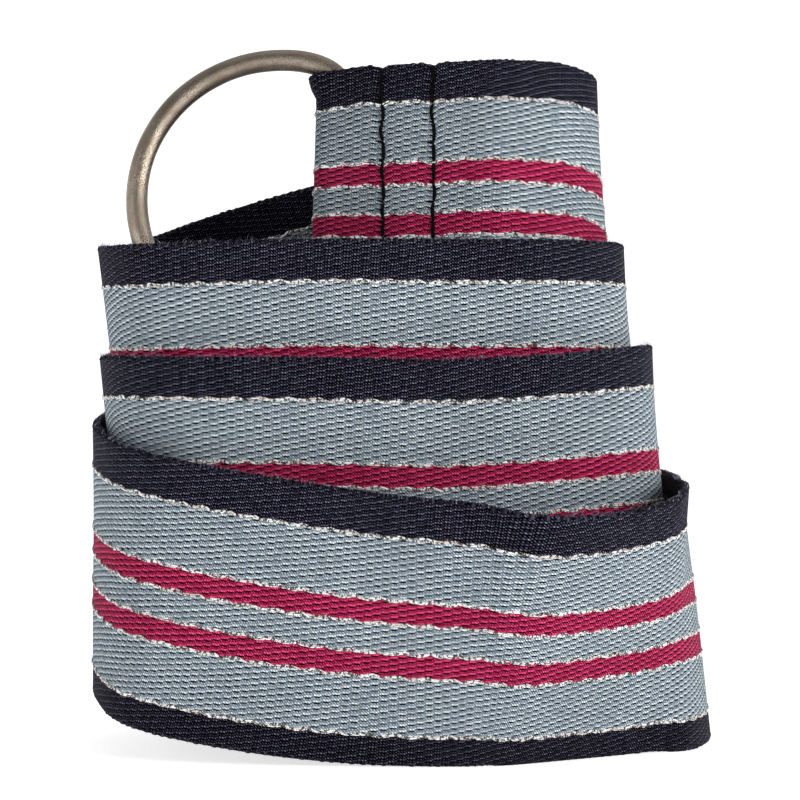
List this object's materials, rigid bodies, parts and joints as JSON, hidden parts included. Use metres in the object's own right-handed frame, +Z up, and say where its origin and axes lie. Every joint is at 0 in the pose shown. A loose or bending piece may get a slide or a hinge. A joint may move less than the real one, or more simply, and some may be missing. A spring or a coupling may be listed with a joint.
{
  "type": "belt",
  "caption": "Coiled webbing belt, striped across its width, with a D-ring in a sewn fold, standing on its edge in a spiral.",
  "frame": {"origin": "middle of the box's footprint, on the surface that the coil stands on", "axes": "+Z up, along the coil's axis; +X to the right and +Y away from the viewer, with the ring at the left and front"},
  "size_m": [0.0932, 0.0844, 0.1037],
  "materials": {
    "webbing": "woven, striped along its length",
    "nickel": "antique nickel, satin"
  },
  "bodies": {
    "belt_strap": {"strap": "webbing"},
    "ring": {"d_ring": "nickel"}
  },
  "joints": [
    {"name": "ring_swing", "type": "hinge", "parent": "belt_strap", "child": "ring", "pos_m": [-0.00995, -0.00403, 0.081], "axis": [0.0237, 0.2652, 0.9639], "range_deg": [-110, 12]}
  ]
}
